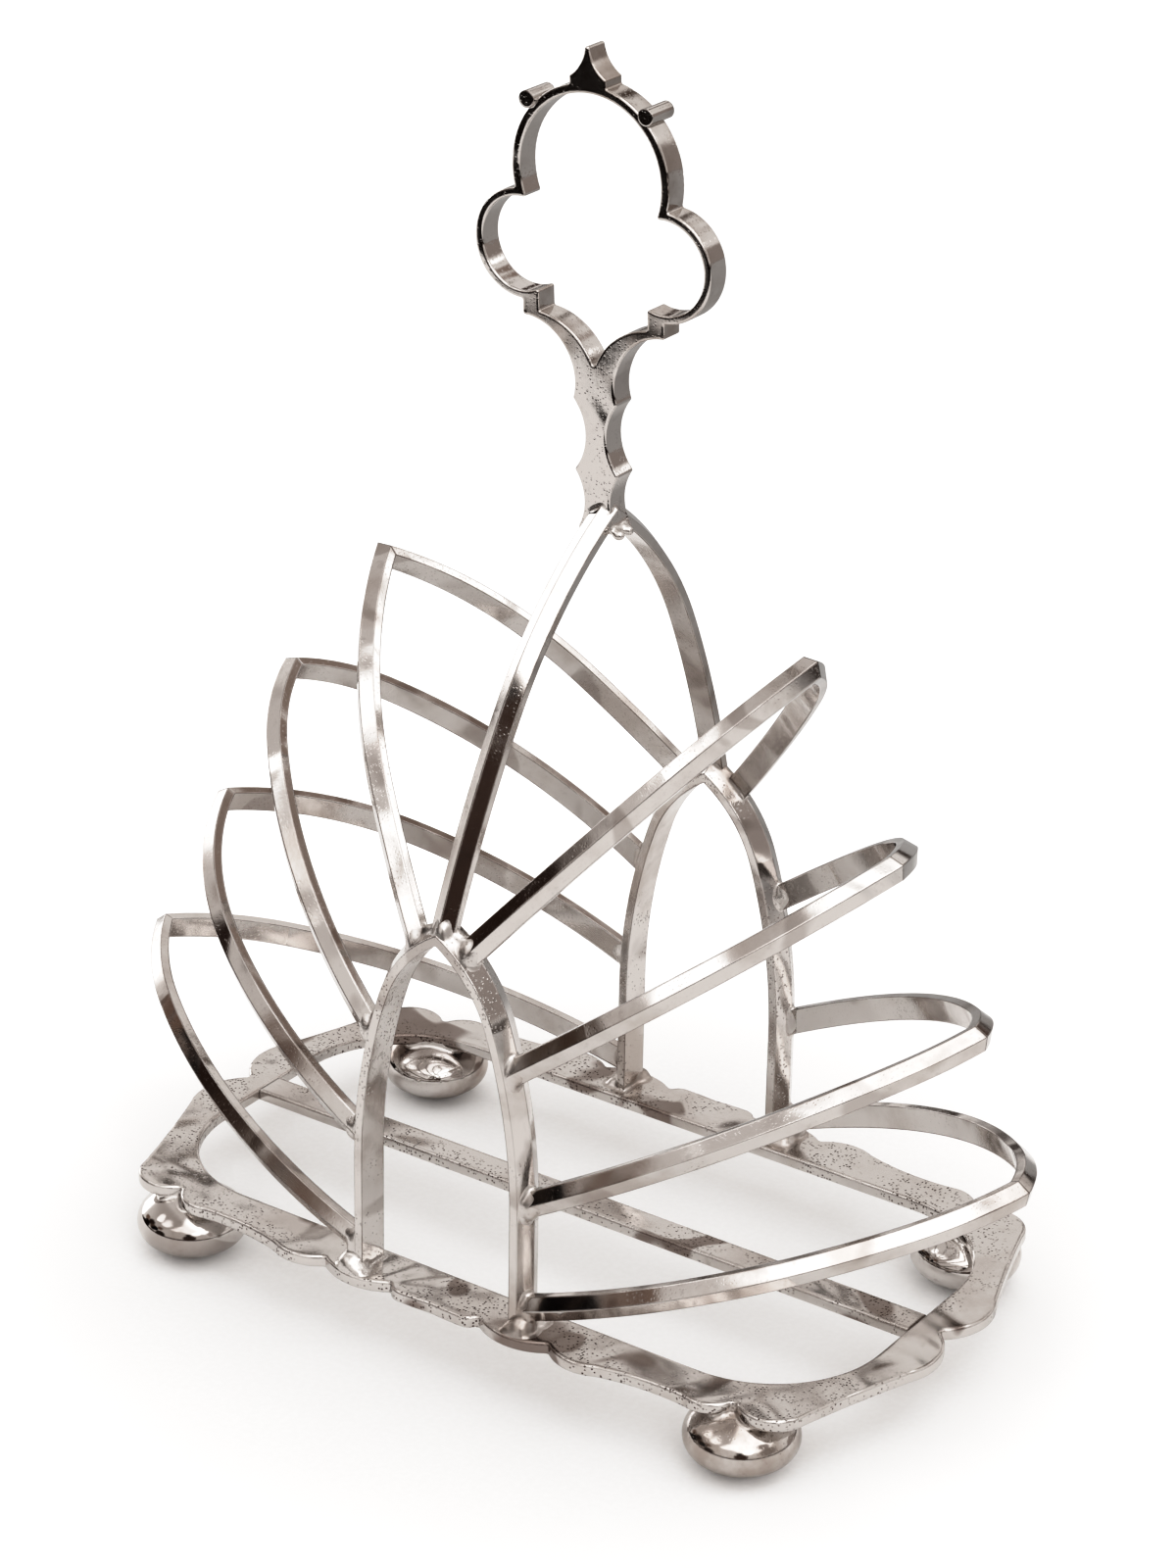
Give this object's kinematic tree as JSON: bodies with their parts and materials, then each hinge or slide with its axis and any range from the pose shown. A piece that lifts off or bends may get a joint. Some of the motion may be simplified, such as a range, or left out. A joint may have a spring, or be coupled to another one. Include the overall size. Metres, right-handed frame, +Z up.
{
  "type": "toast rack",
  "caption": "Footed silver toast rack with a scalloped pierced base, pointed arch dividers fanned out like a book, and a flat trefoil carrying loop on a short scalloped stem.",
  "frame": {"origin": "on the surface the rack stands on, under the middle of the base frame", "axes": "+Z up; X runs along the rack, across the toast slices; -Y is the front as pictured"},
  "size_m": [0.1887, 0.094, 0.226],
  "materials": {
    "silver_frame": "polished silver plate, worn, pitted and lightly tarnished",
    "silver_foot": "polished silver plate, fine scratches",
    "silver_arch": "polished silver plate with file marks",
    "silver_wire": "polished silver plate wire",
    "silver_handle": "satin silver plate casting with small pits, polished edges"
  },
  "bodies": {
    "root": {"base_frame": "silver_frame", "centre_bar": "silver_frame", "foot_front_left": "silver_foot", "foot_back_left": "silver_foot", "foot_front_right": "silver_foot", "foot_back_right": "silver_foot", "arch_front": "silver_arch", "arch_back": "silver_arch", "hoop_left_4_front": "silver_wire", "hoop_left_4_back": "silver_wire", "hoop_left_3_front": "silver_wire", "hoop_left_3_back": "silver_wire", "hoop_left_2_front": "silver_wire", "hoop_left_2_back": "silver_wire", "hoop_left_1_front": "silver_wire", "hoop_left_1_back": "silver_wire", "hoop_centre_front": "silver_wire", "hoop_centre_back": "silver_wire", "hoop_right_1_front": "silver_wire", "hoop_right_1_back": "silver_wire", "hoop_right_2_front": "silver_wire", "hoop_right_2_back": "silver_wire", "hoop_right_3_front": "silver_wire", "hoop_right_3_back": "silver_wire", "hoop_right_4_front": "silver_wire", "hoop_right_4_back": "silver_wire", "handle": "silver_handle"}
  },
  "joints": []
}
